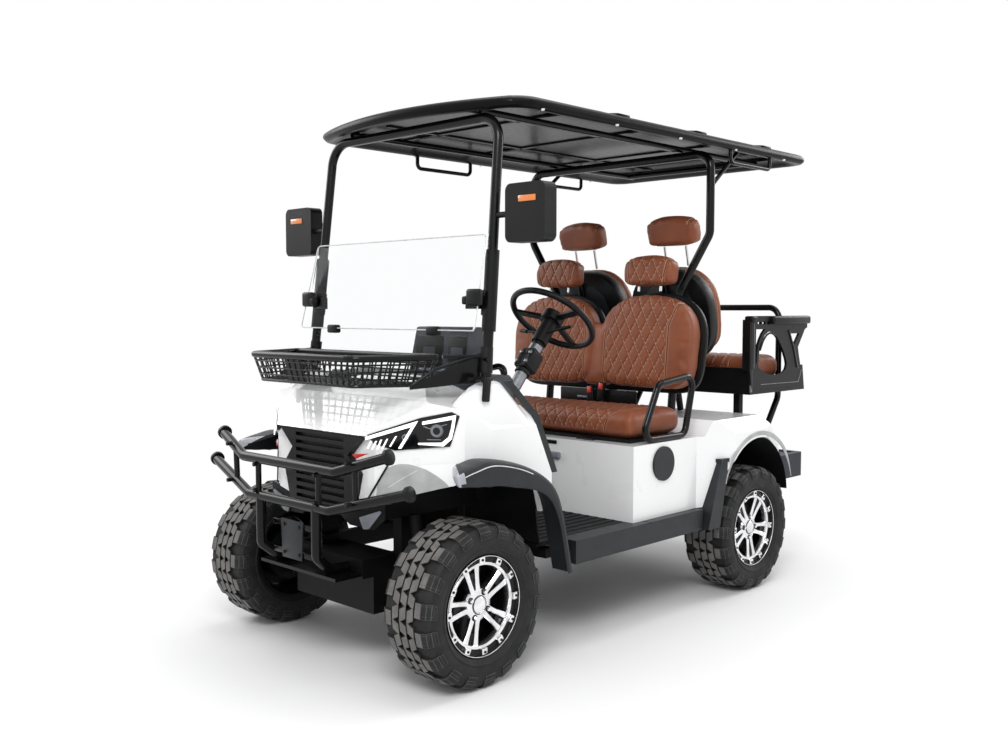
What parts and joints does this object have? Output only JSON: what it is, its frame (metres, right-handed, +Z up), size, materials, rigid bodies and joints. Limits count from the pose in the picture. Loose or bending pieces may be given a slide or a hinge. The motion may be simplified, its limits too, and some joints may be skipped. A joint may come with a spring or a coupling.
{
  "type": "golf cart",
  "caption": "Lifted electric golf cart with a long roof, front bench, rear-facing bench, front basket, brush guard and all-terrain tyres.",
  "frame": {"origin": "middle of the footprint's bounding box, on the ground under the tyres", "axes": "front faces -Y, the driver's left side is +X, +Z is up"},
  "size_m": [1.554, 2.912, 2.1379],
  "materials": {
    "tyre": "matt rubber",
    "rim": "machined, with black windows",
    "steel": "black satin",
    "body": "gloss white",
    "dark_plastic": "moulded, matt",
    "black_plastic": "moulded, satin",
    "battery": "matt",
    "mat": "ribbed",
    "lamp": "clear over black",
    "tail": "clear red",
    "dash": "matt grey",
    "leather": "tan, quilted",
    "chrome": "polished",
    "step": "blue-grey, matt",
    "glass": "clear"
  },
  "bodies": {
    "chassis": {"chassis_frame": "steel", "front_arms": "steel", "rear_axle": "steel", "springs": "steel", "battery_pack": "battery", "floor_pan": "steel", "floor_mat": "mat", "sills": "dark_plastic", "front_cowl": "body", "headlamps": "lamp", "front_grille": "black_plastic", "body_trims": "dark_plastic", "flares": "dark_plastic", "brush_guard": "steel", "front_basket": "steel", "basket_brackets": "steel", "firewall": "dark_plastic", "dashboard": "dash", "pedals": "steel", "steering_column": "dark_plastic", "rear_body": "body", "front_seat_back": "leather", "rear_seat_backs": "leather", "back_shells": "black_plastic", "headrests": "leather", "headrest_posts": "chrome", "hip_rests": "black_plastic", "rear_seat_tray": "black_plastic", "rear_seat_cushion": "leather", "rear_arms": "black_plastic", "rear_safety_bar": "steel", "rear_step": "step", "tail_lamps": "tail", "roof": "black_plastic", "front_posts": "steel", "rear_struts": "steel", "roof_rails": "steel", "windscreen": "glass", "mirrors": "black_plastic"},
    "wheel_front_left": {"tyre_front_left": "tyre", "rim_front_left": "rim"},
    "wheel_front_right": {"tyre_front_right": "tyre", "rim_front_right": "rim"},
    "wheel_rear_left": {"tyre_rear_left": "tyre", "rim_rear_left": "rim"},
    "wheel_rear_right": {"tyre_rear_right": "tyre", "rim_rear_right": "rim"},
    "upright_left": {"knuckle_left": "steel"},
    "upright_right": {"knuckle_right": "steel"},
    "steering_link": {"track_rod": "steel"},
    "hand_wheel": {"steering_wheel": "black_plastic"},
    "seat_lid": {"seat_board": "black_plastic", "front_seat_cushion": "leather"}
  },
  "joints": [
    {"name": "steer_left", "type": "hinge", "parent": "chassis", "child": "upright_left", "pos_m": [0.47, -1.084, 0.29], "axis": [0, 0, 1], "range_deg": [-30, 30]},
    {"name": "steer_right", "type": "hinge", "parent": "chassis", "child": "upright_right", "pos_m": [-0.47, -1.084, 0.29], "axis": [0, 0, 1], "range_deg": [-30, 30]},
    {"name": "track_rod_pin", "type": "hinge", "parent": "upright_left", "child": "steering_link", "pos_m": [0.47, -0.984, 0.2205], "axis": [0, 0, 1], "range_deg": [-30, 30]},
    {"name": "hand_wheel_turn", "type": "hinge", "parent": "chassis", "child": "hand_wheel", "pos_m": [0.29, -0.309, 1.28], "axis": [0, 0.6428, 0.766], "range_deg": [-360, 360]},
    {"name": "spin_front_left", "type": "hinge", "parent": "upright_left", "child": "wheel_front_left", "pos_m": [0.565, -1.084, 0.29], "axis": [1, 0, 0], "continuous": true},
    {"name": "spin_front_right", "type": "hinge", "parent": "upright_right", "child": "wheel_front_right", "pos_m": [-0.565, -1.084, 0.29], "axis": [1, 0, 0], "continuous": true},
    {"name": "spin_rear_left", "type": "hinge", "parent": "chassis", "child": "wheel_rear_left", "pos_m": [0.565, 0.716, 0.29], "axis": [1, 0, 0], "continuous": true},
    {"name": "spin_rear_right", "type": "hinge", "parent": "chassis", "child": "wheel_rear_right", "pos_m": [-0.565, 0.716, 0.29], "axis": [1, 0, 0], "continuous": true},
    {"name": "seat_lift", "type": "hinge", "parent": "chassis", "child": "seat_lid", "pos_m": [0, -0.099, 0.7525], "axis": [1, 0, 0], "range_deg": [0, 60]}
  ],
  "couplings": [
    {"joint": "steer_right", "follows": "steer_left", "ratio": 1},
    {"joint": "track_rod_pin", "follows": "steer_left", "ratio": -1},
    {"joint": "hand_wheel_turn", "follows": "steer_left", "ratio": 12}
  ]
}
